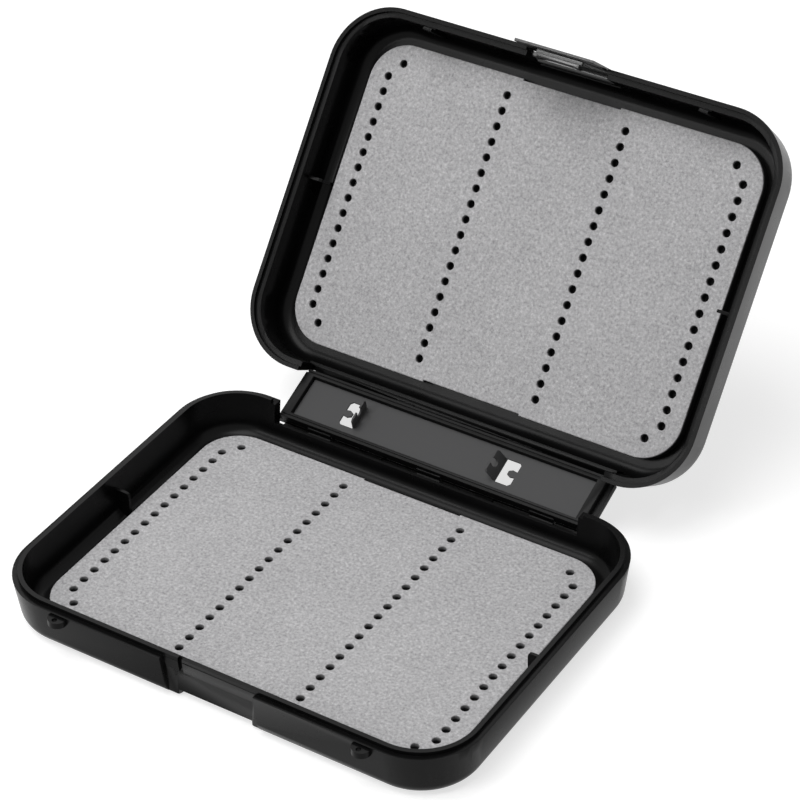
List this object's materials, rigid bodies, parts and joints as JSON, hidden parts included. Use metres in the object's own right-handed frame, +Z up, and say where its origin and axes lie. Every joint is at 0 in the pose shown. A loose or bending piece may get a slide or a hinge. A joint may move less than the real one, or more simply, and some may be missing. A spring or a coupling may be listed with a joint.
{
  "type": "fly box",
  "caption": "Flat pocket case for fishing flies, open: two shallow trays on a double hinge, a foam pad with rows of hook holes in each, leaf clips on the spine and a snap latch.",
  "frame": {"origin": "centre of the base tray's flat underside, on the surface it stands on", "axes": "+X along the hinge, to the right seen from the latch side; +Y from the latch side to the hinge; +Z up"},
  "size_m": [0.1548, 0.2111, 0.1178],
  "materials": {
    "shell_plastic": "moulded satin",
    "spine_plastic": "moulded satin",
    "latch_plastic": "moulded satin",
    "foam": "closed-cell foam, speckled",
    "adhesive": "black film",
    "clip_metal": "dark anodised",
    "pin_steel": "bright wire"
  },
  "bodies": {
    "base": {"base_shell": "shell_plastic", "base_pad_adhesive": "adhesive", "base_foam_pad": "foam"},
    "spine": {"hinge_spine": "spine_plastic", "clip_plate": "clip_metal", "base_hinge_pin": "pin_steel", "lid_hinge_pin": "pin_steel"},
    "lid": {"lid_shell": "shell_plastic", "lid_pad_adhesive": "adhesive", "lid_foam_pad": "foam", "latch_pin": "pin_steel"},
    "latch": {"latch_lever": "latch_plastic"}
  },
  "joints": [
    {"name": "base_hinge", "type": "hinge", "parent": "base", "child": "spine", "pos_m": [0, 0.0588, 0.00765], "axis": [1, 0, 0], "range_deg": [0, 67.7]},
    {"name": "lid_hinge", "type": "hinge", "parent": "spine", "child": "lid", "pos_m": [0, 0.07444, 0.01406], "axis": [1, 0, 0], "range_deg": [0, 60.8]},
    {"name": "latch_pivot", "type": "hinge", "parent": "lid", "child": "latch", "pos_m": [0, 0.14677, 0.10315], "axis": [1, 0, 0], "range_deg": [-35, 0]}
  ]
}
